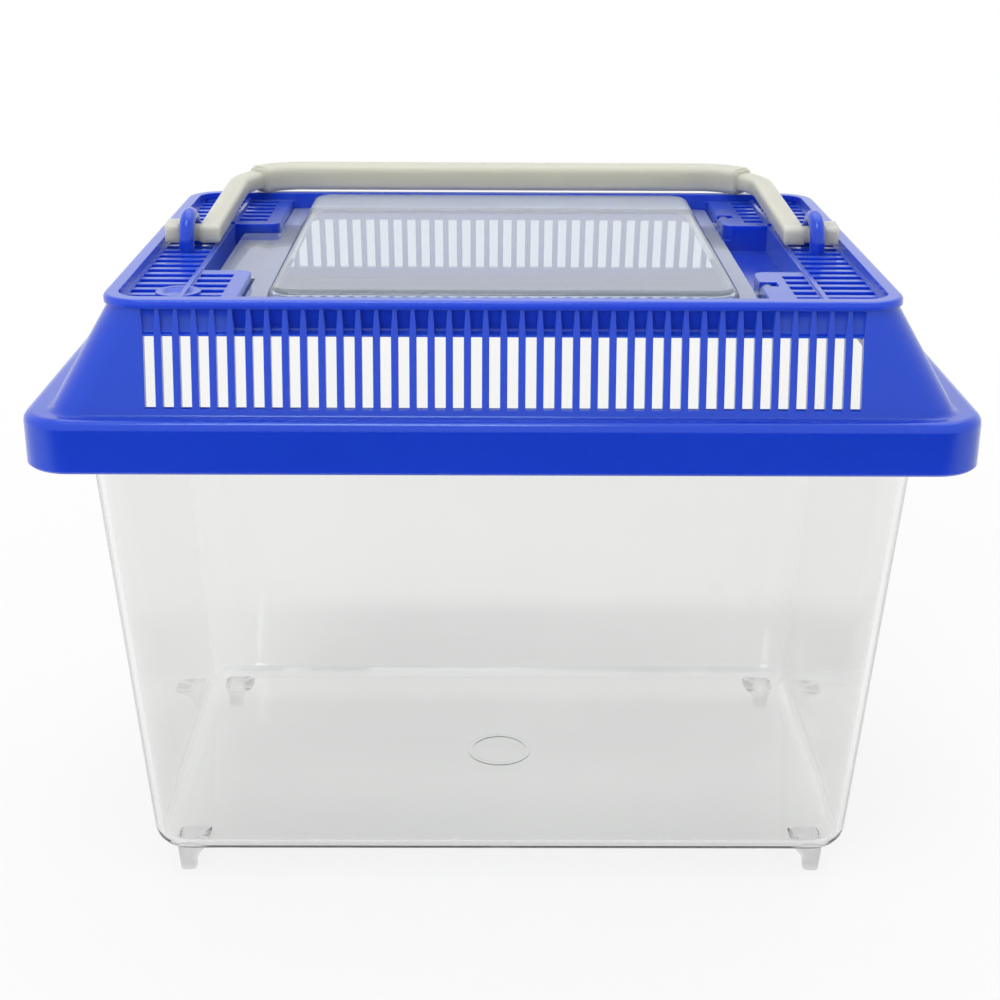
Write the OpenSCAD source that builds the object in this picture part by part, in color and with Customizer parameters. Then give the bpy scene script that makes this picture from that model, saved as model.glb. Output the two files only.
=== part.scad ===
// Plastic pet keeper: a clear tapered tank, a slotted lid with a hinged clear door, and a
// carrying handle that swings in two arched loops.
// Origin: middle of the footprint, at the level of the feet. X is to the right, Y to the back, Z up.

/* [Tank] */
// How far the tank's mouth lies in from the lid's skirt at the sides
tank_in_side = 12.15; // [10:0.05:23.5]
// How far the tank's mouth lies in from the lid's skirt at the front and back
tank_in_front = 13.2; // [11:0.1:22]
// Height from the tank's underside to the top of its rim
tank_h = 129.9; // [90:0.1:180]
// Slope of the tank's walls from the vertical, in degrees
tank_draft = 3.7; // [2:0.1:6]
// Thickness of the tank's walls
tank_wall = 2; // [1.5:0.1:3]
// Thickness of the tank's floor
tank_floor = 2.2; // [1.5:0.1:4]
// Radius of the tank's upright corners
tank_corner_r = 10; // [7:0.5:16]
// Radius of the rounded edge between the walls and the floor
floor_edge_r = 5.5; // [3:0.5:6.5]
// Height of the feet under the tank
foot_h = 8.4; // [5:0.1:16]
// Width of a foot where it meets the tank
foot_top_w = 10; // [7:0.1:14]
// Width of a foot where it stands
foot_tip_w = 4.3; // [3:0.1:7]
// Thickness of the tank's rim
rim_t = 2; // [1.5:0.1:3]
// Height of the lip turned down round the rim
rim_lip_h = 4; // [2:0.5:7]
// Outside diameter of the moulded ring in the middle of the floor
gate_ring_d = 19; // [10:1:30]

/* [Lid] */
// Width of the lid over its skirt
lid_w = 232; // [222:1:260]
// Depth of the lid over its skirt
lid_d = 156; // [148:1:180]
// Wall thickness of the lid
lid_wall = 2; // [1.6:0.1:2.6]
// Corner radius of the skirt, seen from above
lid_corner_r = 12; // [8:0.5:18]
// Height of the skirt
skirt_h = 13.3; // [9:0.1:18]
// Radius of the rounded edge at the top of the skirt
skirt_edge_r = 2.4; // [1:0.1:2.6]
// Height from the ledge to the top of the deck's rim
slope_h = 27.5; // [24:0.5:36]
// Radius of the hollow edge between the ledge and the sloped walls
ledge_fillet_r = 1.3; // [0.5:0.1:1.4]
// Width of the ledge at the sides
ledge_side = 6.3; // [6:0.1:10]
// Width of the ledge at the front and back
ledge_front = 3.9; // [3.6:0.1:6]
// How far the deck's rim lies in from the skirt at the sides
deck_in_side = 20.2; // [17:0.1:24]
// How far the deck's rim lies in from the skirt at the front and back
deck_in_front = 7.6; // [7:0.1:10]
// How far the deck's rim hangs past the sloped walls
rim_over = 1; // [0.6:0.1:1.6]
// Width of the raised rim at the sides of the deck
deck_rim_w = 3.6; // [2.4:0.1:4]
// Width of the raised rim at the front and back of the deck
deck_rim_front = 3.9; // [3:0.1:5]
// Height of the raised rim above the deck
deck_rim_h = 2.2; // [1.5:0.1:3]
// Corner radius of the deck's rim
deck_corner_r = 10; // [6:0.5:14]
// Thickness of the deck
deck_t = 2.2; // [1.8:0.1:3]

/* [Slots] */
// Spacing of the upright slots in the front and back walls
slot_pitch = 4.3; // [3.8:0.1:6]
// Width of an upright slot
slot_w = 2.58; // [1.8:0.02:3]
// Height of an upright slot
slot_h = 17.1; // [10:0.1:17.5]
// Height of the bottom of the slots above the ledge
slot_foot = 1.8; // [1.5:0.1:4]
// Thickness of the fins between the pockets above the slots, at their top
fin_t = 0.9; // [0.7:0.1:1.6]
// Plain wall left beside the outermost slots, from the deck's edge
slot_margin = 9; // [7:0.5:20]
// Spacing of the slots across the deck
deck_slot_pitch = 5.5; // [4.5:0.1:8]
// Width of a slot across the deck
deck_slot_w = 3.3; // [2:0.1:3.6]

/* [Deck] */
// Width of the slotted strip at each side of the deck
side_strip_w = 15.1; // [14.5:0.1:20]
// Width of each finger well
well_w = 12.7; // [11:0.1:16]
// Length of each finger well, front to back
well_l = 59; // [40:1:66]
// Depth of each finger well below the deck
well_depth = 7.5; // [6:0.1:10]
// Width of the ledge that the door rests on at its sides
seat_side = 6.8; // [5:0.1:8]
// Width of the ledge that the door rests on at its front and back
seat_front = 5.1; // [3:0.1:8]
// Depth of the door's seat below the deck
seat_depth = 4.2; // [3.8:0.1:5]
// Corner radius of the deck between the door and the finger wells
deck_nose_r = 3; // [1:0.5:4]
// Outside diameter of the round dish at the deck's front left
dish_d = 11; // [7:0.5:13]

/* [Handle loops] */
// Radius of the round bar that each loop is bent from
loop_bar_r = 2.05; // [1.4:0.05:2.2]
// Clear radius inside each loop's arch
loop_in_r = 4.2; // [3.6:0.1:5]
// Height of the handle's pivot above the deck
pivot_h = 3.7; // [3.6:0.1:4.5]

/* [Door] */
// Thickness of the door's panel and flanges
door_t = 1.6; // [1.2:0.1:2]
// Height of the raised panel above the flanges
dome_h = 5.2; // [3:0.1:7]
// Width of the flange beside the raised panel, left and right
flange_side = 5.7; // [3:0.1:7]
// Width of the flange at the front and back of the raised panel
flange_front = 1.4; // [1:0.1:4]
// Width of the gap left for a finger beside the door's tab
finger_gap = 2.8; // [2:0.1:6]
// Radius of the door's hinge pins
pin_r = 1.2; // [0.9:0.05:1.3]
// Length of each hinge pin inside its socket
pin_l = 3.6; // [2:0.1:4.5]
// Width of the ear that carries each pin
ear_w = 3.6; // [3:0.1:6]
// Distance from the middle of the lid to the inner side of each ear
ear_y = 41; // [37:0.5:50]

/* [Handle] */
// Thickness of the handle's arms, side to side
arm_w = 5.8; // [3.5:0.1:6]
// Height of the handle's arms when it lies flat
arm_h = 5.2; // [4:0.1:5.4]
// Radius of the round journals that turn in the loops
journal_r = 2.3; // [1.8:0.05:2.4]
// Width and thickness of the grip
grip_s = 7.8; // [6:0.1:10]
// Inside radius of the bends between the arms and the grip
bend_r = 15; // [8:0.5:18]
// Part of each bend that the thick grip covers, in degrees
grip_turn = 48; // [10:1:70]
// Width of the heads outside the loops
head_w = 4; // [3:0.1:4.6]
// Length of the heads from the pivot towards the grip
head_l = 5.5; // [3:0.1:7]

/* [Clearances] */
// Gap between the tank's rim and the lid's ledge above it
seat_gap = 0.2; // [0.1:0.05:0.5]
// Gap between the tank's rim and the inside of the skirt
skirt_gap = 0.7; // [0.4:0.1:1.2]
// Gap round the door in its seat
door_gap = 0.5; // [0.3:0.1:0.8]
// Gap between the door and its seat on the hinge side
hinge_gap = 1.2; // [0.9:0.1:1.6]
// Radial clearance of the door's pins in their sockets
pin_gap = 0.05; // [0.02:0.01:0.1]
// Gap beside the ears, the heads and the resting grip
side_gap = 0.4; // [0.3:0.05:0.6]
// Gap between each arm and its loop
arm_gap = 0.6; // [0.6:0.1:2]

/* [Hidden] */

// Levels, from the floor up
rim_top = foot_h + tank_h;
ledge_z = rim_top + seat_gap + lid_wall;
skirt_z = ledge_z - skirt_h;
deck_top = ledge_z + slope_h;
deck_z = deck_top - deck_rim_h;
deck_low = deck_z - deck_t;
seat_z = deck_z - seat_depth;
slot_z = ledge_z + slot_foot;
slot_top = slot_z + slot_h;
pivot_z = deck_z + pivot_h;

// Tank sizes that follow from the lid that closes over it and from its draft
mouth_z = rim_top - rim_t;
tank_shrink = 2 * (mouth_z - foot_h) * tan(tank_draft);
tank_w = lid_w - 2 * tank_in_side;
tank_d = lid_d - 2 * tank_in_front;
base_w = tank_w - tank_shrink;
base_d = tank_d - tank_shrink;
rim_w = lid_w - 2 * (lid_wall + skirt_gap);
rim_d = lid_d - 2 * (lid_wall + skirt_gap);

// Deck layout, from the outside in
deck_w = lid_w - 2 * deck_in_side;
deck_d = lid_d - 2 * deck_in_front;
inner_w = deck_w - 2 * deck_rim_w;
inner_d = deck_d - 2 * deck_rim_front;
strip_x = inner_w / 2 - side_strip_w;
seat_x = strip_x - well_w;
seat_y = inner_d / 2;
opening_w = 2 * (seat_x - seat_side);
opening_d = 2 * (seat_y - seat_front);
well_z = deck_z - well_depth;
under_t = 2;
strip_end = 1;
ridge_w = 1.2;
ridge_h = 0.6;
ridge_side = 0.3;

// Sloped walls of the lid
wall_top_side = deck_in_side + rim_over;
wall_top_front = deck_in_front + rim_over;
rim_low = deck_z - 0.1;
slope_side = (wall_top_side - ledge_side) / (rim_low - ledge_z);
slope_front = (wall_top_front - ledge_front) / (rim_low - ledge_z);
foot_corner_r = 9;
frame_y = lid_d / 2 - ledge_front - (deck_low - ledge_z) * slope_front - lid_wall / 2;

// Handle loops and the parts that turn in them
loop_x = inner_w / 2 - 2 * side_gap - head_w - side_gap - loop_bar_r;
loop_r = loop_in_r + loop_bar_r;
arm_x = loop_x - loop_bar_r - arm_gap - arm_w;
head_x = loop_x + loop_bar_r + side_gap;
arch_z = pivot_z + journal_r + 0.3 - loop_in_r;

// The grip rests on the back of the deck's rim, just inside its edge
grip_in = deck_d / 2 - 1.9;
rest_tilt = asin((deck_top + 0.3 - pivot_z + grip_s / 2) / grip_in);

// Door and its hinge
flange_z = seat_z + 0.2;
flange_w = 2 * seat_x - door_gap - hinge_gap;
flange_x = (door_gap - hinge_gap) / 2;
flange_d = 2 * (seat_y - door_gap);
dome_w = 2 * (seat_x - door_gap - flange_side);
dome_d = flange_d - 2 * flange_front;
hinge_z = flange_z + door_t + 0.2;
tab_w = well_w + door_gap - finger_gap;
tab_l = well_l - 2 * (door_gap + side_gap);
knuckle_r = pin_r + 0.7;

// The axis lies far enough out for the door's edge to swing clear of the deck
hinge_drop = deck_z - hinge_z;
hinge_x = seat_x + (hinge_drop * hinge_drop - hinge_gap * hinge_gap) / (2 * hinge_gap) + 0.5;
notch_x = hinge_x + knuckle_r + 0.5;
lug_x = notch_x + under_t;
socket_y = ear_y + ear_w + side_gap;
socket_l = pin_l + side_gap;

// Points per quarter turn on lofted corners, and the facets of small rounds
corner_n = 9;
round_n = 4;
$fn = 28;
eps = 0.01;

// Outline points of a rounded rectangle at height z
function ring(w, d, r, z) = [
    for (q = [0:3], i = [0:corner_n])
        let (
            a = 90 * (q + i / corner_n),
            sx = (q == 0 || q == 3) ? 1 : -1,
            sy = (q < 2) ? 1 : -1
        )
        [sx * (w / 2 - r) + r * cos(a), sy * (d / 2 - r) + r * sin(a), z]
];

// The same outline moved in the plane
function moved(points, x, y) = [for (p = points) p + [x, y, 0]];

// Closed solid through a stack of rings, lowest first
module loft(rings) {
    n = len(rings[0]);
    m = len(rings);
    polyhedron(
        points = [for (r = rings) each r],
        faces = concat(
            [[for (i = [0:n - 1]) i]],
            [[for (i = [n - 1:-1:0]) (m - 1) * n + i]],
            [
                for (k = [0:m - 2], i = [0:n - 1])
                    let (j = (i + 1) % n)
                    [k * n + i, (k + 1) * n + i, (k + 1) * n + j, k * n + j]
            ]
        ),
        convexity = 6
    );
}

// Rounded rectangle in the plane
module plate(w, d, r) {
    square([w - 2 * r, d], center = true);
    square([w, d - 2 * r], center = true);
    for (sx = [-1, 1], sy = [-1, 1])
        translate([sx * (w / 2 - r), sy * (d / 2 - r)])
            circle(r);
}

// Rounded slab between two heights
module slab(w, d, r, z0, z1) {
    translate([0, 0, z0])
        linear_extrude(z1 - z0)
            plate(w, d, r);
}

// Box between two corners
module block(x0, x1, y0, y1, z0, z1) {
    translate([x0, y0, z0])
        cube([x1 - x0, y1 - y0, z1 - z0]);
}

// Children on both sides of the middle plane
module left_right() {
    children();
    mirror([1, 0, 0])
        children();
}

module front_back() {
    children();
    mirror([0, 1, 0])
        children();
}

// Tank: tapered box with a rounded floor edge, inset by t all round
module tank_body(t, z0, z1) {
    edge = floor_edge_r - t;
    spread = 2 * tan(tank_draft);
    loft(concat(
        [
            for (k = [0:round_n])
                let (
                    a = 90 * k / round_n,
                    z = z0 + edge * (1 - cos(a)),
                    grow = (z - foot_h) * spread - 2 * t - 2 * edge * (1 - sin(a))
                )
                ring(base_w + grow, base_d + grow, tank_corner_r - t - edge * (1 - sin(a)), z)
        ],
        [
            ring(
                base_w + (z1 - foot_h) * spread - 2 * t,
                base_d + (z1 - foot_h) * spread - 2 * t,
                tank_corner_r - t,
                z1
            )
        ]
    ));
}

// One corner foot, upright on its outer sides and flared towards the floor on its inner ones
module foot() {
    out_in = 5.5;
    tip_in = out_in + 0.7;
    steps = 5;
    loft([
        for (k = [0:steps])
            let (
                t = k / steps,
                w = foot_tip_w + (foot_top_w - foot_tip_w) * pow(t, 2.2),
                side_in = tip_in + (out_in - tip_in) * t
            )
            moved(
                ring(w, w, 1.4 + 0.8 * t, k == steps ? foot_h + tank_floor / 2 : foot_h * t),
                (base_w - w) / 2 - side_in,
                (base_d - w) / 2 - side_in
            )
    ]);
}

module gate_ring() {
    ring_w = 1.4;
    ring_h = 0.25;
    translate([0, 0, foot_h + tank_floor - eps])
        difference() {
            cylinder(d = gate_ring_d, h = ring_h + eps, $fn = 48);
            translate([0, 0, -1])
                cylinder(d = gate_ring_d - 2 * ring_w, h = ring_h + 2, $fn = 48);
        }
}

module tank() {
    lip_t = 1.5;
    color("gainsboro", 0.4) {
        difference() {
            union() {
                tank_body(0, foot_h, mouth_z + eps);
                slab(rim_w, rim_d, lid_corner_r - lid_wall, mouth_z, rim_top);
                difference() {
                    slab(rim_w, rim_d, lid_corner_r - lid_wall, mouth_z - rim_lip_h, mouth_z + eps);
                    slab(
                        rim_w - 2 * lip_t,
                        rim_d - 2 * lip_t,
                        lid_corner_r - lid_wall - lip_t,
                        mouth_z - rim_lip_h - 1,
                        mouth_z
                    );
                }
                left_right()
                    front_back()
                        foot();
            }
            tank_body(tank_wall, foot_h + tank_floor, rim_top + 1);
        }
        gate_ring();
    }
}

// Outside of the lid, from the foot of the skirt to the top of the deck's rim
module lid_outside() {
    skirt_low_r = 0.6;
    top_r = 1;
    loft(concat(
        [
            lid_ring(skirt_low_r, skirt_low_r, skirt_z, lid_corner_r - skirt_low_r),
            lid_ring(0, 0, skirt_z + skirt_low_r, lid_corner_r)
        ],
        [
            for (k = [0:round_n])
                let (a = 90 * k / round_n, e = skirt_edge_r * (1 - cos(a)))
                lid_ring(e, e, ledge_z - skirt_edge_r * (1 - sin(a)), lid_corner_r - e)
        ],
        [
            for (k = [0:round_n + 1])
                let (z = ledge_z + ledge_fillet_r * (1 - cos(90 * k / (round_n + 1))))
                lid_ring(
                    wall_in(ledge_side, slope_side, z),
                    wall_in(ledge_front, slope_front, z),
                    z,
                    foot_corner_r
                )
        ],
        [
            lid_ring(wall_top_side, wall_top_front, rim_low, deck_corner_r - rim_over),
            lid_ring(deck_in_side, deck_in_front, rim_low + rim_over / 3, deck_corner_r)
        ],
        [
            for (k = [0:round_n])
                let (a = 90 * k / round_n, e = top_r * (1 - cos(a)))
                lid_ring(
                    deck_in_side + e,
                    deck_in_front + e,
                    deck_top - top_r * (1 - sin(a)),
                    deck_corner_r - e
                )
        ]
    ));
}

// How far a sloped wall lies in from the skirt at height z, with its hollow edge on the ledge
function wall_in(foot, slope, z) =
    let (
        lean = atan(slope),
        start = foot - ledge_fillet_r * tan((90 - lean) / 2),
        turn = acos(max(0, 1 - (z - ledge_z) / ledge_fillet_r))
    )
    turn < 90 - lean ? start + ledge_fillet_r * sin(turn) : foot + slope * (z - ledge_z);

// Ring of the lid, given how far it lies in from the skirt
function lid_ring(in_side, in_front, z, r) =
    ring(lid_w - 2 * in_side, lid_d - 2 * in_front, r, z);

// Hollow inside the lid: the skirt's inside, then the sloped walls' inside
module lid_hollow() {
    side_t = lid_wall * sqrt(1 + slope_side * slope_side);
    front_t = lid_wall * sqrt(1 + slope_front * slope_front);
    ceiling = ledge_z - lid_wall;
    rise = deck_low - ledge_z;
    loft([
        lid_ring(lid_wall, lid_wall, skirt_z - 1, lid_corner_r - lid_wall),
        lid_ring(lid_wall, lid_wall, ceiling, lid_corner_r - lid_wall),
        lid_ring(
            ledge_side - lid_wall * slope_side + side_t,
            ledge_front - lid_wall * slope_front + front_t,
            ceiling + eps,
            foot_corner_r - lid_wall
        ),
        lid_ring(
            ledge_side + rise * slope_side + side_t,
            ledge_front + rise * slope_front + front_t,
            deck_low,
            foot_corner_r - lid_wall
        )
    ]);
}

// Walls under the deck that carry the door's seat, the wells and the hinge sockets
module under_deck() {
    block(
        -seat_x - under_t, seat_x + under_t,
        -frame_y, frame_y,
        seat_z - under_t, deck_low + eps
    );
    left_right()
        block(
            seat_x - under_t, strip_x + under_t,
            -well_l / 2 - under_t, well_l / 2 + under_t,
            well_z - under_t, deck_low + eps
        );
    front_back()
        block(
            seat_x, lug_x,
            ear_y - side_gap - under_t, socket_y + socket_l + under_t,
            seat_z - under_t, deck_low + eps
        );
}

// Room for the door, its ears and pins, and the two finger wells
module door_room() {
    slab(2 * seat_x, 2 * seat_y, 2, seat_z, deck_top + 1);
    slab(opening_w, opening_d, 4, seat_z - under_t - 1, seat_z + 1);
    left_right()
        block(
            seat_x - eps, strip_x,
            -well_l / 2, well_l / 2,
            well_z, deck_top + 1
        );
    front_back() {
        block(
            seat_x - eps, notch_x,
            ear_y - side_gap, socket_y,
            hinge_z - knuckle_r - 0.5, deck_top + 1
        );
        translate([hinge_x, socket_y - eps, hinge_z])
            rotate([-90, 0, 0])
                cylinder(r = pin_r + pin_gap, h = socket_l + eps);
    }
}

// Rounds the deck's upright corners between the door and the finger wells
module deck_noses() {
    left_right()
        front_back()
            translate([seat_x - eps, well_l / 2 - eps, seat_z])
                difference() {
                    cube([deck_nose_r, deck_nose_r, deck_top + 1 - seat_z]);
                    translate([deck_nose_r, deck_nose_r, -1])
                        cylinder(r = deck_nose_r, h = deck_top + 3 - seat_z);
                }
}

// Slots across the deck: the outer strips, then the four corner blocks inside them
module deck_slots() {
    half_count = floor((inner_d / 2 - strip_end - deck_slot_w / 2) / deck_slot_pitch + 0.5);
    for (k = [0:half_count - 1]) {
        y = deck_slot_pitch * (k + 0.5);
        left_right()
            front_back()
                deck_slot(strip_x + ridge_w + ridge_side, inner_w / 2 - strip_end, y);
        if (y - deck_slot_w / 2 > well_l / 2 + under_t)
            front_back() {
                deck_slot(-strip_x + ridge_side, -seat_x - 4, y);
                deck_slot(lug_x + 0.4, strip_x - ridge_side, y);
            }
    }
}

module deck_slot(x0, x1, y) {
    block(x0, x1, y - deck_slot_w / 2, y + deck_slot_w / 2, deck_low - 4, deck_z + 1);
}

// Upright slots in the front wall. Each one has a pocket above it, under the deck's rim:
// deep with a short floor in front of the door, and shallow with a long scooped floor beside it.
module wall_slots() {
    count = floor((deck_w - 2 * slot_margin) / slot_pitch);
    for (k = [0:count - 1]) {
        x = slot_pitch * (k - (count - 1) / 2);
        deep = abs(x) < seat_x + under_t - slot_w;
        translate([x, 0, 0]) {
            block(
                -slot_w / 2, slot_w / 2,
                -lid_d / 2, -inner_d / 2 + lid_wall,
                slot_z, slot_top
            );
            slot_pocket(deep ? 2.6 : 2, deep ? 1 : 3.6);
        }
    }
}

// Pocket above one slot, cut from the front: it widens upward and leaves thin fins between pockets
module slot_pocket(depth, scoop_h) {
    web = 0.3;
    low = slot_top + web;
    steps = 3;
    y_wall = -lid_d / 2 + ledge_front + (slot_top - ledge_z) * slope_front;
    widen = (slot_pitch - fin_t - slot_w) / (rim_low - low);
    loft(concat(
        [
            for (k = [0:steps])
                let (a = 90 * k / steps, z = low + scoop_h * (1 - cos(a)))
                pocket_ring(slot_w + (z - low) * widen, y_wall + 0.1 + (depth - 0.1) * sin(a), z)
        ],
        [pocket_ring(slot_pitch - fin_t, y_wall + depth, rim_low)]
    ));
}

// Four corners of a pocket at height z, from outside the wall to its back
function pocket_ring(w, y, z) = [
    [-w / 2, -lid_d / 2, z],
    [w / 2, -lid_d / 2, z],
    [w / 2, y, z],
    [-w / 2, y, z]
];

// Round dish with a raised edge, at the front end of the left-hand ridge
module dish() {
    edge_w = 1.1;
    depth = 1.3;
    dish_r = dish_d / 2 - edge_w;
    ball_r = (dish_r * dish_r + depth * depth) / (2 * depth);
    difference() {
        cylinder(d = dish_d, h = deck_t + ridge_h, $fn = 40);
        translate([0, 0, deck_t + ridge_h - depth + ball_r])
            sphere(r = ball_r, $fn = 56);
    }
}

// Arched loop that the handle's journal turns in, standing on two legs
module loop() {
    translate([0, 0, arch_z])
        rotate([90, 0, 90])
            rotate_extrude(angle = 180, $fn = 40)
                translate([loop_r, 0])
                    circle(loop_bar_r, $fn = 20);
    front_back()
        translate([0, loop_r, deck_low])
            cylinder(r = loop_bar_r, h = arch_z - deck_low, $fn = 20);
}

module lid() {
    dish_y = -inner_d / 2 + dish_d / 2 + 6.7;
    color("royalblue") {
        difference() {
            union() {
                difference() {
                    lid_outside();
                    lid_hollow();
                }
                under_deck();
            }
            slab(inner_w, inner_d, deck_corner_r - deck_rim_front, deck_z, deck_top + 1);
            door_room();
            deck_noses();
            deck_slots();
            front_back()
                wall_slots();
        }
        left_right()
            front_back()
                block(
                    strip_x, strip_x + ridge_w,
                    well_l / 2, inner_d / 2 + eps,
                    deck_z - eps, deck_z + ridge_h
                );
        translate([-strip_x - 2, dish_y, deck_low])
            dish();
        left_right()
            translate([loop_x, 0, 0])
                loop();
    }
}

// Raised panel of the door, inset by t
module dome(t, z0, z1) {
    edge = 2.2 - t;
    lean = 1.2;
    loft(concat(
        [ring(dome_w - 2 * t, dome_d - 2 * t, 6 - t, z0)],
        [
            for (k = [0:round_n])
                let (a = 90 * k / round_n, e = lean + edge * (1 - cos(a)))
                ring(dome_w - 2 * t - 2 * e, dome_d - 2 * t - 2 * e, 6 - t - edge * (1 - cos(a)),
                     z1 - edge * (1 - sin(a)))
        ]
    ));
}

module door() {
    dome_top = flange_z + door_t + dome_h;
    ear_x = seat_x - hinge_gap;
    color("whitesmoke", 0.5) {
        difference() {
            union() {
                translate([flange_x, 0, 0])
                    slab(flange_w, flange_d, 1.6, flange_z, flange_z + door_t);
                dome(0, flange_z, dome_top);
                finger_tab();
            }
            dome(door_t, flange_z - 1, dome_top - door_t);
        }
        front_back() {
            block(ear_x - eps, hinge_x, ear_y, ear_y + ear_w, flange_z, hinge_z);
            translate([hinge_x, ear_y, hinge_z])
                rotate([-90, 0, 0]) {
                    cylinder(r = knuckle_r, h = ear_w);
                    cylinder(r = pin_r, h = ear_w + side_gap + pin_l);
                }
        }
    }
}

// Tab over the left-hand well, with a small lip to pull on
module finger_tab() {
    lip_w = 1.4;
    lip_h = 1;
    x1 = door_gap - seat_x;
    x0 = x1 - tab_w;
    block(x0, x1 + eps, -tab_l / 2, tab_l / 2, flange_z, flange_z + door_t);
    block(x0, x0 + lip_w, -tab_l / 2, tab_l / 2, flange_z - lip_h, flange_z + eps);
}

// Rounded bar section, w wide across the handle and h high
module bar(w, h, r) {
    polygon([for (p = ring(w, h, r, 0)) [p[0], p[1]]]);
}

// Half of the bail in its own plane, lying flat and pointing back
module bail_half() {
    r = 1.3;
    cap = 3;
    bend_y = grip_in + grip_s / 2 - arm_w / 2 - bend_r;
    bend_x = arm_x - bend_r;
    mid_y = grip_in + grip_s / 2;
    translate([arm_x + arm_w / 2, 0, 0])
        intersection() {
            translate([0, bend_y, 0])
                rotate([90, 0, 0])
                    linear_extrude(bend_y + arm_h)
                        bar(arm_w, arm_h, r);
            translate([-arm_w, (bend_y + 2 - arm_h / 2) / 2, 0])
                rotate([90, 0, 90])
                    linear_extrude(2 * arm_w)
                        plate(bend_y + 2 + arm_h / 2, arm_h + eps, r);
        }
    translate([bend_x, bend_y, 0]) {
        rotate_extrude(angle = 90, $fn = 64)
            translate([bend_r + arm_w / 2, 0])
                bar(arm_w, arm_h, r);
        rotate([0, 0, 90 - grip_turn])
            rotate_extrude(angle = grip_turn, $fn = 64)
                translate([bend_r + arm_w / 2, 0])
                    bar(grip_s - 0.8, grip_s - 0.8, 1.6);
        rotate([0, 0, 90 - grip_turn + cap])
            rotate_extrude(angle = grip_turn - cap, $fn = 64)
                translate([bend_r + arm_w / 2, 0])
                    bar(grip_s, grip_s, 1.8);
    }
    translate([0, mid_y, 0])
        rotate([90, 0, 90])
            linear_extrude(bend_x + eps)
                bar(grip_s, grip_s, 1.8);
}

// Journal through the loop, and the head that keeps it there
module pivot_end() {
    head_r = 1;
    translate([arm_x + arm_w / 2, 0, 0])
        rotate([0, 90, 0])
            cylinder(r = journal_r, h = head_x - arm_x - arm_w / 2 + eps);
    translate([head_x, (head_l - arm_h / 2) / 2, 0])
        rotate([90, 0, 90])
            linear_extrude(head_w)
                plate(head_l + arm_h / 2, arm_h, head_r);
}

module handle() {
    color("ivory")
        translate([0, 0, pivot_z])
            rotate([rest_tilt, 0, 0])
                left_right() {
                    bail_half();
                    pivot_end();
                }
}

tank();
lid();
door();
handle();
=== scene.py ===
import math

import bpy
from mathutils import Matrix, Vector

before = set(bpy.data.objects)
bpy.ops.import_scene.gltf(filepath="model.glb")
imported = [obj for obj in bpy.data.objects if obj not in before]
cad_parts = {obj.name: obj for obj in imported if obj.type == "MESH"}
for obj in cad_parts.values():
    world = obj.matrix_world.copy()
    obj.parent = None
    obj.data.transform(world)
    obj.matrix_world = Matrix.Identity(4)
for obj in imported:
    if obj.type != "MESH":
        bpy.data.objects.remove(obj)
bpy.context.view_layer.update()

mm = 0.001
scene = bpy.context.scene
bpy.ops.object.select_all(action="DESELECT")
print("frame loaded:", ", ".join(sorted(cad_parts)))


# Small helpers for node trees

def addNode(tree, kind, place, **settings):
    node = tree.nodes.new(kind)
    node.location = place
    for name, value in settings.items():
        setattr(node, name, value)
    return node


def setInputs(node, values):
    for name, value in values.items():
        node.inputs[name].default_value = value


def link(tree, source, target):
    tree.links.new(source, target)


def rgba(color):
    return (*color, 1.0)


def calculate(tree, operation, first, second, place, **settings):  # with numbers or other nodes' outputs
    node = addNode(tree, "ShaderNodeMath", place, operation=operation, **settings)
    for slot, value in enumerate((first, second)):
        if isinstance(value, (int, float)):
            node.inputs[slot].default_value = value
        else:
            link(tree, value, node.inputs[slot])
    return node.outputs[0]


def smoothFade(tree, value, ends, levels, place):  # from one level to the other, between two ends
    fade = addNode(tree, "ShaderNodeMapRange", place, interpolation_type="SMOOTHSTEP")
    setInputs(fade, {"From Min": ends[0], "From Max": ends[1], "To Min": levels[0], "To Max": levels[1]})
    link(tree, value, fade.inputs["Value"])
    return fade.outputs["Result"]


def newGroup(name, inputs, outputs):
    group = bpy.data.node_groups.new(name, "ShaderNodeTree")
    for label, kind, value in inputs:
        socket = group.interface.new_socket(name=label, in_out="INPUT", socket_type=kind)
        socket.default_value = value
    for label, kind in outputs:
        group.interface.new_socket(name=label, in_out="OUTPUT", socket_type=kind)
    start = addNode(group, "NodeGroupInput", (-900, 0))
    end = addNode(group, "NodeGroupOutput", (700, 0))
    return group, start, end


def newMaterial(name):
    material = bpy.data.materials.new(name)
    material.use_nodes = True
    return material, material.node_tree


# Moulded skin: soft waves from the cooling of the plastic, a fine grain over them,
# and a tone and a roughness that drift with the waves

skinNoise = {
    "waves": {"Detail": 2.0, "Roughness": 0.45},
    "grain": {"Detail": 3.0, "Roughness": 0.6},
    "mean": 0.5,
}


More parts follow.
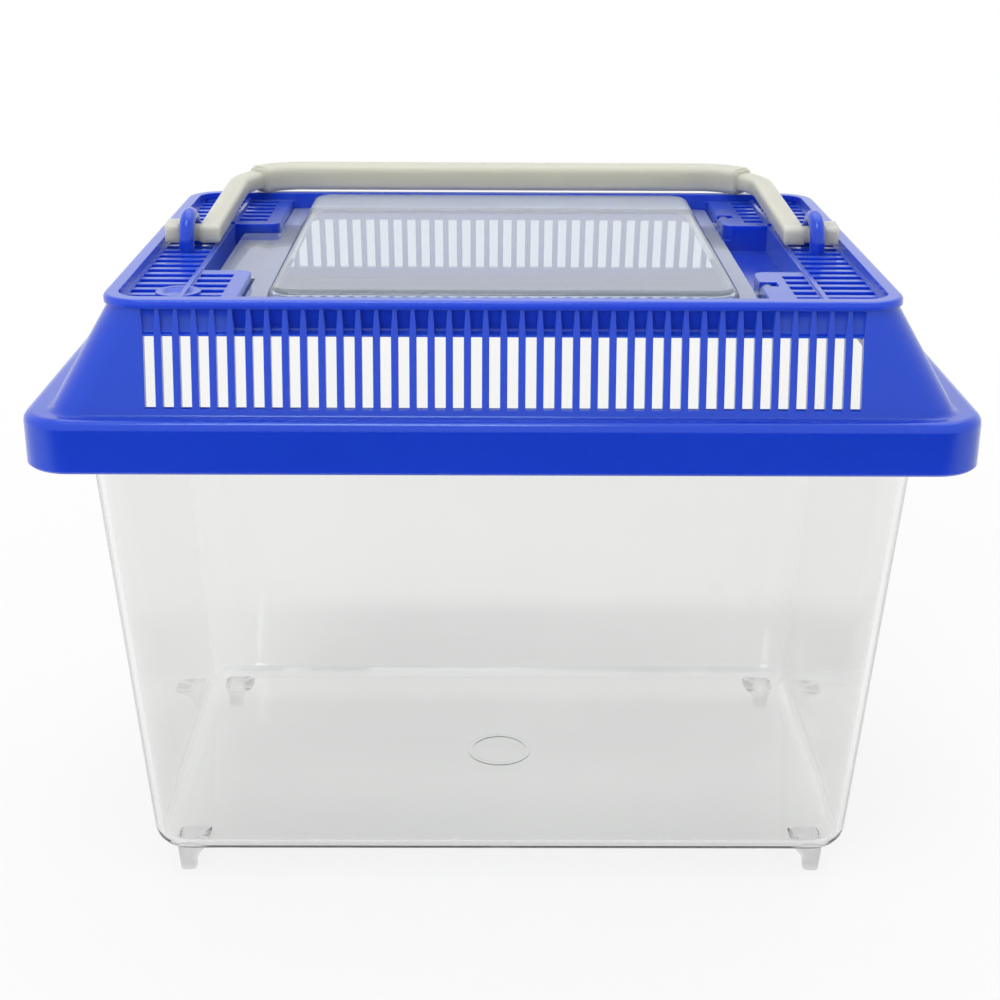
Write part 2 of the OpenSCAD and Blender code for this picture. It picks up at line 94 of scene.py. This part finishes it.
def makeMouldedSkin():
    group, start, end = newGroup(
        "mouldedSkin",
        [
            ("Color", "NodeSocketColor", (0.5, 0.5, 0.5, 1)),
            ("Tone Drift", "NodeSocketFloat", 0.05),
            ("Wave Scale", "NodeSocketFloat", 30.0),
            ("Grain Scale", "NodeSocketFloat", 900.0),
            ("Grain Share", "NodeSocketFloat", 0.2),
            ("Roughness", "NodeSocketFloat", 0.2),
            ("Roughness Drift", "NodeSocketFloat", 0.05),
        ],
        [("Color", "NodeSocketColor"), ("Roughness", "NodeSocketFloat"), ("Height", "NodeSocketFloat")],
    )
    given = start.outputs
    coords = addNode(group, "ShaderNodeTexCoord", (-900, 300))
    waves = addNode(group, "ShaderNodeTexNoise", (-600, 300))
    grain = addNode(group, "ShaderNodeTexNoise", (-600, 0))
    for noise, kind, scale in ((waves, "waves", "Wave Scale"), (grain, "grain", "Grain Scale")):
        setInputs(noise, skinNoise[kind])
        link(group, coords.outputs["Object"], noise.inputs["Vector"])
        link(group, given[scale], noise.inputs["Scale"])

    shift = calculate(group, "SUBTRACT", waves.outputs["Fac"], skinNoise["mean"], (-350, 300))
    drift = calculate(group, "MULTIPLY", shift, given["Tone Drift"], (-150, 300))
    level = calculate(group, "ADD", drift, 1.0, (50, 300))
    tinted = addNode(group, "ShaderNodeVectorMath", (250, 300), operation="SCALE")
    link(group, given["Color"], tinted.inputs[0])
    link(group, level, tinted.inputs["Scale"])
    link(group, tinted.outputs[0], end.inputs["Color"])

    roughDrift = calculate(group, "MULTIPLY", shift, given["Roughness Drift"], (-150, 0))
    rough = calculate(group, "ADD", roughDrift, given["Roughness"], (50, 0), use_clamp=True)
    link(group, rough, end.inputs["Roughness"])

    fine = calculate(group, "MULTIPLY", grain.outputs["Fac"], given["Grain Share"], (-350, -250))
    height = calculate(group, "ADD", waves.outputs["Fac"], fine, (-150, -250))
    link(group, height, end.inputs["Height"])
    return group


mouldedSkin = makeMouldedSkin()
print("moulded skin ready")


# A plastic of the moulded skin. Its edges can be rounded in the shading, what lies at a glancing angle
# can take a second tone, and one end of a piece, such as the solid feet, can be more frosted than the rest

edgeSamples = 6


def plastic(name, look):
    material, tree = newMaterial(name)
    shader = tree.nodes["Principled BSDF"]
    skin = addNode(tree, "ShaderNodeGroup", (-900, 0), node_tree=mouldedSkin)
    setInputs(skin, look["skin"])
    bump = addNode(tree, "ShaderNodeBump", (-300, -300))
    setInputs(bump, {"Strength": look["bumpStrength"], "Distance": look["bumpDepth"]})
    if "edgeRadius" in look:
        rounded = addNode(tree, "ShaderNodeBevel", (-600, -400), samples=edgeSamples)
        setInputs(rounded, {"Radius": look["edgeRadius"]})
        link(tree, rounded.outputs["Normal"], bump.inputs["Normal"])
    baseColor = skin.outputs["Color"]
    if "glance" in look:
        baseColor = glancing(tree, look["glance"], baseColor)
    roughness = skin.outputs["Roughness"]
    if "frost" in look:
        baseColor, roughness = frosted(tree, look["frost"], baseColor, roughness)
    link(tree, baseColor, shader.inputs["Base Color"])
    link(tree, roughness, shader.inputs["Roughness"])
    link(tree, skin.outputs["Height"], bump.inputs["Height"])
    link(tree, bump.outputs["Normal"], shader.inputs["Normal"])
    setInputs(shader, look["shader"])
    return material


def glancing(tree, glance, baseColor):
    facing = addNode(tree, "ShaderNodeLayerWeight", (-900, 350))
    setInputs(facing, {"Blend": glance["blend"]})
    sharper = calculate(tree, "POWER", facing.outputs["Facing"], glance["power"], (-700, 350))
    mix = addNode(tree, "ShaderNodeMix", (-450, 250), data_type="RGBA")
    mix.inputs["B"].default_value = rgba(glance["color"])
    link(tree, sharper, mix.inputs["Factor"])
    link(tree, baseColor, mix.inputs["A"])
    return mix.outputs["Result"]


def frosted(tree, frost, baseColor, roughness):
    coords = addNode(tree, "ShaderNodeTexCoord", (-900, 900))
    split = addNode(tree, "ShaderNodeSeparateXYZ", (-700, 900))
    link(tree, coords.outputs["Object"], split.inputs[0])
    ends = (frost["from"], frost["to"])
    share = smoothFade(tree, split.outputs[frost["axis"]], ends, (0.0, 1.0), (-500, 900))
    tone = addNode(tree, "ShaderNodeMix", (-250, 700), data_type="RGBA")
    tone.inputs["B"].default_value = rgba(frost["color"])
    rough = addNode(tree, "ShaderNodeMix", (-250, 500), data_type="FLOAT")
    rough.inputs["B"].default_value = frost["roughness"]
    for mix, source in ((tone, baseColor), (rough, roughness)):
        link(tree, share, mix.inputs["Factor"])
        link(tree, source, mix.inputs["A"])
    return tone.outputs["Result"], rough.outputs["Result"]


# The imported solids are loose flat triangles: live modifiers join them and smooth the curved faces

smoothing = {"join": 0.002 * mm, "flat": math.radians(0.6), "crease": math.radians(31), "faceWeight": 100}


def makeSmoother():
    group = bpy.data.node_groups.new("smoothCurves", "GeometryNodeTree")
    for direction in ("INPUT", "OUTPUT"):
        group.interface.new_socket(name="Geometry", in_out=direction, socket_type="NodeSocketGeometry")
    start = addNode(group, "NodeGroupInput", (-600, 0))
    end = addNode(group, "NodeGroupOutput", (400, 0))
    angle = addNode(group, "GeometryNodeInputMeshEdgeAngle", (-600, -200))
    soft = addNode(group, "FunctionNodeCompare", (-400, -200), data_type="FLOAT", operation="LESS_THAN")
    soft.inputs["B"].default_value = smoothing["crease"]
    faces = addNode(group, "GeometryNodeSetShadeSmooth", (-100, 0), domain="FACE")
    edges = addNode(group, "GeometryNodeSetShadeSmooth", (150, 0), domain="EDGE")
    link(group, start.outputs[0], faces.inputs["Geometry"])
    link(group, angle.outputs["Unsigned Angle"], soft.inputs["A"])
    link(group, faces.outputs["Geometry"], edges.inputs["Geometry"])
    link(group, soft.outputs["Result"], edges.inputs["Shade Smooth"])
    link(group, edges.outputs["Geometry"], end.inputs[0])
    return group


smoothCurves = makeSmoother()


def smooth(node):
    join = node.modifiers.new("join", "WELD")
    join.merge_threshold = smoothing["join"]
    flat = node.modifiers.new("flat", "DECIMATE")
    flat.decimate_type = "DISSOLVE"
    flat.angle_limit = smoothing["flat"]
    curves = node.modifiers.new("curves", "NODES")
    curves.node_group = smoothCurves
    weighted = node.modifiers.new("weighted", "WEIGHTED_NORMAL")
    weighted.keep_sharp = True
    weighted.weight = smoothing["faceWeight"]


def dress(nodeName, material):
    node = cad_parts[nodeName]
    node.data.materials.clear()
    node.data.materials.append(material)
    smooth(node)
    print("dressed:", nodeName, "in", material.name)


# Lid: glossy blue with light scattered inside it

lidLook = {
    "skin": {
        "Color": rgba((0.006, 0.042, 0.53)),
        "Tone Drift": 0.14,
        "Wave Scale": 18.0,
        "Grain Scale": 1100.0,
        "Grain Share": 0.08,
        "Roughness": 0.17,
        "Roughness Drift": 0.1,
    },
    "bumpStrength": 0.22,
    "bumpDepth": 0.15 * mm,
    "edgeRadius": 0.45 * mm,
    "shader": {
        "IOR": 1.55,
        "Specular Tint": rgba((0.56, 0.88, 1.0)),
        "Coat Weight": 0.2,
        "Coat Roughness": 0.08,
        "Sheen Weight": 0.13,
        "Sheen Roughness": 0.4,
        "Sheen Tint": rgba((0.6, 0.87, 1.0)),
        "Subsurface Weight": 0.6,
        "Subsurface Radius": (0.25, 0.4, 1.0),
        "Subsurface Scale": 6 * mm,
    },
}

dress("lid", plastic("bluePlastic", lidLook))


# Handle: semi-gloss ivory, softer at its edges

handleLook = {
    "skin": {
        "Color": rgba((0.51, 0.51, 0.435)),
        "Tone Drift": 0.08,
        "Wave Scale": 26.0,
        "Grain Scale": 1300.0,
        "Grain Share": 0.12,
        "Roughness": 0.34,
        "Roughness Drift": 0.1,
    },
    "bumpStrength": 0.25,
    "bumpDepth": 0.12 * mm,
    "edgeRadius": 1.6 * mm,
    "shader": {
        "IOR": 1.49,
        "Subsurface Weight": 0.9,
        "Subsurface Radius": (1.0, 0.95, 0.8),
        "Subsurface Scale": 9 * mm,
    },
}

dress("handle", plastic("ivoryPlastic", handleLook))


# Tank: clear, with frosted feet

tankLook = {
    "skin": {
        "Color": rgba((0.925, 0.93, 0.92)),
        "Tone Drift": 0.05,
        "Wave Scale": 14.0,
        "Grain Scale": 700.0,
        "Grain Share": 0.02,
        "Roughness": 0.03,
        "Roughness Drift": 0.04,
    },
    "bumpStrength": 0.3,
    "bumpDepth": 0.2 * mm,
    "glance": {"blend": 0.5, "power": 5.0, "color": (0.87, 0.875, 0.87)},
    "frost": {
        "axis": "Z",
        "from": 8.2 * mm,
        "to": 7.7 * mm,
        "color": (0.8, 0.8, 0.8),
        "roughness": 0.3,
    },
    "shader": {"IOR": 1.5, "Transmission Weight": 1.0},
}

dress("tank", plastic("clearPlastic", tankLook))


# Door: clear with a light haze that grows towards its back

doorLook = {
    "skin": {
        "Color": rgba((0.66, 0.74, 0.82)),
        "Tone Drift": 0.08,
        "Wave Scale": 22.0,
        "Grain Scale": 700.0,
        "Grain Share": 0.02,
        "Roughness": 0.0,
        "Roughness Drift": 0.02,
    },
    "bumpStrength": 0.06,
    "bumpDepth": 0.2 * mm,
    "frost": {
        "axis": "Y",
        "from": 34 * mm,
        "to": 46 * mm,
        "color": (0.84, 0.9, 0.96),
        "roughness": 0.55,
    },
    "shader": {"IOR": 1.32, "Transmission Weight": 0.88, "Coat Weight": 0.2, "Coat Roughness": 0.25},
}

dress("door", plastic("hazyPlastic", doorLook))


# What the stage shares

def seenDirectly(tree, place):  # 1 for camera, transmission and glossy rays
    x, y = place
    rays = addNode(tree, "ShaderNodeLightPath", place).outputs
    seen = calculate(tree, "MAXIMUM", rays["Is Camera Ray"], rays["Is Transmission Ray"], (x + 200, y))
    return calculate(tree, "MAXIMUM", seen, rays["Is Glossy Ray"], (x + 400, y))


def addPlane(name, size, place, material):
    bpy.ops.mesh.primitive_plane_add(size=size, location=place)
    plane = bpy.context.object
    plane.name = name
    plane.data.materials.append(material)
    plane.select_set(False)
    return plane


# Painted shadow: a soft grey band painted on the table behind the tank, where the object's shadow lies,
# seen only through and in the pieces.
# It fades in from the left along X, and its stops are places along Y, in metres, each with its share

paintedShadowLook = {
    "depth": 0.32,
    "along": (-0.1, 0.2),
    "leftFade": (-0.13, -0.05),
    "stops": (
        (-0.05, 0.4),
        (0.0, 0.0),
        (0.03, 0.1),
        (0.06, 0.35),
        (0.08, 0.9),
        (0.12, 0.95),
        (0.146, 0.0),
    ),
}


# Share of painted shadow at each place on the table
def paintedShadowBand(tree, coords):
    start, end = paintedShadowLook["along"]
    split = addNode(tree, "ShaderNodeSeparateXYZ", (-900, 500))
    link(tree, coords, split.inputs[0])
    along = addNode(tree, "ShaderNodeMapRange", (-700, 600))
    setInputs(along, {"From Min": start, "From Max": end})
    link(tree, split.outputs["Y"], along.inputs["Value"])
    ramp = addNode(tree, "ShaderNodeValToRGB", (-500, 600))
    ramp.color_ramp.interpolation = "EASE"
    elements = ramp.color_ramp.elements
    while len(elements) < len(paintedShadowLook["stops"]):
        elements.new(0.5)  # its real place comes next
    for element, (y, share) in zip(elements, paintedShadowLook["stops"]):
        element.position = (y - start) / (end - start)
        element.color = rgba((share, share, share))
    link(tree, along.outputs["Result"], ramp.inputs["Fac"])
    side = smoothFade(tree, split.outputs["X"], paintedShadowLook["leftFade"], (0.0, paintedShadowLook["depth"]), (-500, 300))
    return calculate(tree, "MULTIPLY", ramp.outputs["Color"], side, (-200, 500))


# Pale table that keeps the object's shadow and grows white with the distance from its middle, in metres.
# Near the object it is whiter beside the pieces than through or in them

tableLook = {
    "size": 9.0,
    "color": (0.78, 0.78, 0.78),
    "fade": (0.2, 0.55),
    "whiteThrough": 0.68,
    "whiteBeside": 0.84,
}


def makeTable():
    material, tree = newMaterial("paleTable")
    tree.nodes.clear()
    coords = addNode(tree, "ShaderNodeTexCoord", (-1200, 0))
    distance = addNode(tree, "ShaderNodeVectorMath", (-900, 0), operation="LENGTH")
    link(tree, coords.outputs["Object"], distance.inputs[0])
    far = distance.outputs["Value"]
    through = smoothFade(tree, far, tableLook["fade"], (tableLook["whiteThrough"], 1.0), (-700, 100))
    beside = smoothFade(tree, far, tableLook["fade"], (tableLook["whiteBeside"], 1.0), (-700, -100))
    # the painted shadow band behind the tank is taken from the white seen through the pieces
    throughWithPaintedShadow = calculate(tree, "SUBTRACT", through, paintedShadowBand(tree, coords.outputs["Object"]), (-500, 100))
    path = addNode(tree, "ShaderNodeLightPath", (-700, -400))
    white = addNode(tree, "ShaderNodeMix", (-300, 0), data_type="FLOAT")
    link(tree, path.outputs["Is Camera Ray"], white.inputs["Factor"])
    link(tree, throughWithPaintedShadow, white.inputs["A"])
    link(tree, beside, white.inputs["B"])
    seen = seenDirectly(tree, (-1000, -700))
    share = calculate(tree, "MULTIPLY", white.outputs["Result"], seen, (-100, 0))
    surface = addNode(tree, "ShaderNodeBsdfDiffuse", (-100, 200))
    setInputs(surface, {"Color": rgba(tableLook["color"])})
    glow = addNode(tree, "ShaderNodeEmission", (-100, -200))
    both = addNode(tree, "ShaderNodeMixShader", (100, 0))
    output = addNode(tree, "ShaderNodeOutputMaterial", (300, 0))
    link(tree, share, both.inputs[0])
    link(tree, surface.outputs[0], both.inputs[1])
    link(tree, glow.outputs[0], both.inputs[2])
    link(tree, both.outputs[0], output.inputs["Surface"])
    table = addPlane("table", tableLook["size"], (0, 0, 0), material)


# Card in front that only reflections show: dark in the middle, white at its edge.
# Its fade is told in half sizes of the card, from the middle

cardLook = {"size": (2.2, 1.0), "place": (0, -0.68, 2 * mm), "dark": 0.02, "fade": (0.5, 1.0)}


def makeCard():
    material, tree = newMaterial("fadedCard")
    tree.nodes.clear()
    coords = addNode(tree, "ShaderNodeTexCoord", (-700, 0))
    halves = addNode(tree, "ShaderNodeVectorMath", (-500, 0), operation="SCALE")
    setInputs(halves, {"Scale": 2.0})  # the plane's own edge is 0.5 from its middle
    distance = addNode(tree, "ShaderNodeVectorMath", (-300, 0), operation="LENGTH")
    link(tree, coords.outputs["Object"], halves.inputs[0])
    link(tree, halves.outputs["Vector"], distance.inputs[0])
    levels = (cardLook["dark"], 1.0)
    strength = smoothFade(tree, distance.outputs["Value"], cardLook["fade"], levels, (-100, 0))
    glow = addNode(tree, "ShaderNodeEmission", (100, 0))
    output = addNode(tree, "ShaderNodeOutputMaterial", (300, 0))
    link(tree, strength, glow.inputs["Strength"])
    link(tree, glow.outputs[0], output.inputs["Surface"])
    card = addPlane("card", 1, cardLook["place"], material)
    card.scale = (*cardLook["size"], 1)
    card.visible_camera = False
    card.visible_diffuse = False
    card.visible_transmission = False
    card.visible_shadow = False


# White room, less bright where it lights the object than where it is seen

roomLook = {"light": 0.78}


def makeRoom():
    world = bpy.data.worlds.new("whiteRoom")
    scene.world = world
    world.use_nodes = True
    tree = world.node_tree
    background = tree.nodes["Background"]
    setInputs(background, {"Color": (1, 1, 1, 1)})
    strength = addNode(tree, "ShaderNodeMapRange", (-200, -200))
    setInputs(strength, {"To Min": roomLook["light"], "To Max": 1.0})
    link(tree, seenDirectly(tree, (-900, -200)), strength.inputs["Value"])
    link(tree, strength.outputs["Result"], background.inputs["Strength"])


# Softboxes: place and target in metres, power in watts. The front one doesn't show in reflections

lamps = {
    "keySoftbox": {
        "place": (-0.12, -0.42, 1.3),
        "target": (0, 0, 0.1),
        "size": (0.4, 0.4),
        "power": 2.7,
        "reflected": True,
    },
    "topSoftbox": {
        "place": (0.1, 0.45, 1.2),
        "target": (0, 0, 0.1),
        "size": (1.2, 0.9),
        "power": 4,
        "reflected": True,
    },
    "frontSoftbox": {
        "place": (-0.8, -1.3, 0.8),
        "target": (0, 0, 0.12),
        "size": (0.9, 0.7),
        "power": 7.5,
        "reflected": False,
    },
}


def addSoftbox(name, look):
    light = bpy.data.lights.new(name, "AREA")
    light.shape = "RECTANGLE"
    light.size, light.size_y = look["size"]
    light.energy = look["power"]
    lamp = bpy.data.objects.new(name, light)
    scene.collection.objects.link(lamp)
    lamp.location = look["place"]
    aim = Vector(look["target"]) - Vector(look["place"])
    lamp.rotation_euler = aim.to_track_quat("-Z", "Y").to_euler()
    lamp.visible_glossy = look["reflected"]


makeTable()
makeCard()
makeRoom()
for name, look in lamps.items():
    addSoftbox(name, look)
scene.view_settings.view_transform = "Standard"
print("stage and lamps ready")


# Camera, matched to the photograph. It is turned down, to the right and about its own axis, in degrees

cameraView = {
    "place": (-3.5 * mm, -458.7 * mm, 264.9 * mm),
    "lens": 61.1,
    "sensor": 36,
    "clip": (0.01, 50),
    "down": 20.68,
    "right": 0.41,
    "roll": 0.31,
}


def makeCamera():
    data = bpy.data.cameras.new("camera")
    data.lens = cameraView["lens"]
    data.sensor_width = cameraView["sensor"]
    data.clip_start, data.clip_end = cameraView["clip"]
    camera = bpy.data.objects.new("camera", data)
    scene.collection.objects.link(camera)
    turn = (
        Matrix.Rotation(-math.radians(cameraView["right"]), 4, "Z")
        @ Matrix.Rotation(math.radians(90 - cameraView["down"]), 4, "X")
        @ Matrix.Rotation(math.radians(cameraView["roll"]), 4, "Z")
    )
    camera.matrix_world = Matrix.Translation(cameraView["place"]) @ turn
    scene.camera = camera


makeCamera()
print("camera ready")
